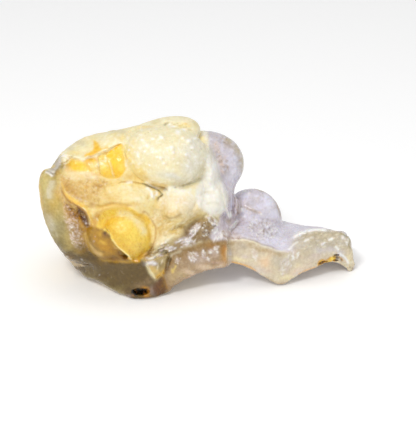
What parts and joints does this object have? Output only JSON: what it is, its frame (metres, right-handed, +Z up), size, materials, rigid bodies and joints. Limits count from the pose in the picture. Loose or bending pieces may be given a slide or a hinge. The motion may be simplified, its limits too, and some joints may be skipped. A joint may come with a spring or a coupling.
{
  "type": "botryoidal chalcedony specimen",
  "caption": "Natural specimen of cream, honey-yellow and lavender chalcedony: rounded lumps on a broken crust, lying on its flat underside.",
  "frame": {"origin": "a point of the flat underside that the stone rests on, below the middle of the main mass", "axes": "+X runs out along the thin crust with the lavender bulbs, +Y to the back, +Z up"},
  "size_m": [0.0897, 0.0416, 0.0475],
  "materials": {
    "chalcedony": "glossy, slightly translucent"
  },
  "bodies": {
    "root": {"chalcedony": "chalcedony"}
  },
  "joints": []
}
